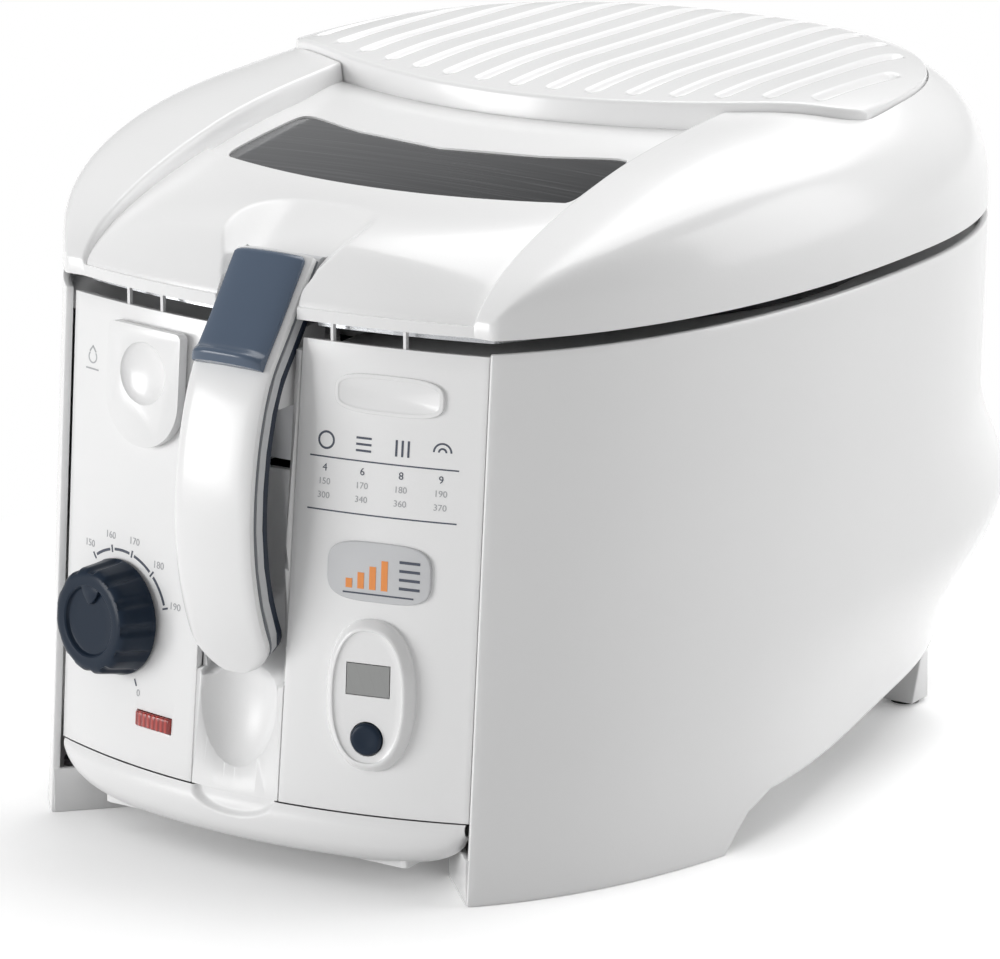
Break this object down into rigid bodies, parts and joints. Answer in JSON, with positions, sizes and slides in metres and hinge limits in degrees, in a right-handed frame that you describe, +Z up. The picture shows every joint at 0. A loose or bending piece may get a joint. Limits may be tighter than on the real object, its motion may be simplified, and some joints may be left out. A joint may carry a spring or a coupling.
{
  "type": "deep fryer",
  "caption": "Deep fryer with a lidded tilted bowl, a turning basket that the front handle lifts, a drain hose behind a door, a timer and a temperature knob.",
  "frame": {"origin": "bottom centre of the bounding box, on the worktop", "axes": "+Z up, +Y from the front to the back, +X to the right seen from the front"},
  "size_m": [0.27, 0.364, 0.23],
  "materials": {
    "white_plastic": "satin",
    "navy_plastic": "satin",
    "pale_plastic": "matt",
    "grey_trim": "matt",
    "rubber": "matt",
    "steel": "brushed",
    "bowl_coating": "non-stick coating",
    "window_glass": "smoked",
    "display_grey": "clear",
    "red_lens": "clear",
    "dark_plastic": "matt",
    "filter_fleece": "fleece"
  },
  "bodies": {
    "base": {"housing_shell": "white_plastic", "base_plate": "white_plastic", "rear_tower": "white_plastic", "cord_inlet": "grey_trim", "lid_hinge_pin": "steel", "foot_pad_1": "rubber", "foot_pad_2": "rubber", "foot_pad_3": "rubber", "foot_pad_4": "rubber", "base_screw_1": "steel", "base_screw_2": "steel", "base_screw_3": "steel", "base_screw_4": "steel", "front_panel_left": "white_plastic", "front_panel_right": "white_plastic", "handle_bay": "white_plastic", "release_spring": "steel", "drain_hose": "rubber", "hose_pocket": "white_plastic", "hose_plug": "grey_trim", "thermostat": "dark_plastic", "timer_housing": "white_plastic", "timer_display": "display_grey", "coin_cell": "steel", "indicator_lens": "red_lens", "bowl": "bowl_coating", "heating_element": "steel", "gear_motor": "dark_plastic", "carrier_hanger": "steel", "handle_bracket": "navy_plastic"},
    "lid": {"lid_shell": "white_plastic", "window_pane": "window_glass", "window_seal": "rubber", "lid_liner": "steel", "lid_gasket": "rubber", "filter_pad": "filter_fleece"},
    "cover": {"filter_cover": "white_plastic"},
    "handle": {"handle_shell": "white_plastic", "handle_trim": "grey_trim", "handle_core": "pale_plastic", "handle_back": "navy_plastic", "handle_pin": "steel"},
    "slider": {"handle_slider": "navy_plastic"},
    "knob": {"temperature_knob": "navy_plastic", "knob_shaft": "steel"},
    "button": {"timer_button": "navy_plastic"},
    "release": {"lid_release_button": "pale_plastic"},
    "door": {"drain_door": "white_plastic"},
    "carrier": {"basket_carrier": "steel"},
    "basket_body": {"basket": "steel"},
    "spindle": {"drive_spindle": "steel"}
  },
  "joints": [
    {"name": "lid_hinge", "type": "hinge", "parent": "base", "child": "lid", "pos_m": [0, 0.1765, 0.181], "axis": [-1, 0, 0], "range_deg": [0, 85]},
    {"name": "cover_lift_off", "type": "slide", "parent": "lid", "child": "cover", "axis": [0, 0, 1], "range_m": [0, 0.04]},
    {"name": "handle_hinge", "type": "hinge", "parent": "base", "child": "handle", "pos_m": [0, -0.1382, 0.1929], "axis": [-1, 0, 0], "range_deg": [0, 95]},
    {"name": "handle_lock_slide", "type": "slide", "parent": "handle", "child": "slider", "axis": [0, -0.6001, -0.7999], "range_m": [0, 0.008], "stiffness_N_per_m": 300},
    {"name": "knob_turn", "type": "hinge", "parent": "base", "child": "knob", "pos_m": [-0.05249, -0.15958, 0.073], "axis": [0.2239, 0.9713, -0.0806], "range_deg": [-210, 60]},
    {"name": "timer_button_press", "type": "slide", "parent": "base", "child": "button", "axis": [-0.207, 0.975, -0.0809], "range_m": [0, 0.0012], "stiffness_N_per_m": 400},
    {"name": "lid_release_press", "type": "slide", "parent": "base", "child": "release", "axis": [0, 1, 0], "range_m": [0, 0.003], "stiffness_N_per_m": 500, "deforming": ["release_spring"]},
    {"name": "drain_door_hinge", "type": "hinge", "parent": "base", "child": "door", "pos_m": [-0.04354, -0.15688, 0.13071], "axis": [0.9878, -0.156, 0], "range_deg": [0, 90]},
    {"name": "basket_lift", "type": "slide", "parent": "base", "child": "carrier", "axis": [0, 0, 1], "range_m": [0, 0.03]},
    {"name": "basket_spin", "type": "hinge", "parent": "carrier", "child": "basket_body", "pos_m": [0, 0.008, 0.0685], "axis": [0, -0.2079, 0.9781], "continuous": true},
    {"name": "spindle_spin", "type": "hinge", "parent": "base", "child": "spindle", "pos_m": [0, 0.008, 0.0685], "axis": [0, -0.2079, 0.9781], "continuous": true}
  ],
  "couplings": [
    {"joint": "basket_lift", "follows": "handle_hinge", "m_per_rad": 0.018},
    {"joint": "spindle_spin", "follows": "basket_spin", "ratio": 1}
  ]
}
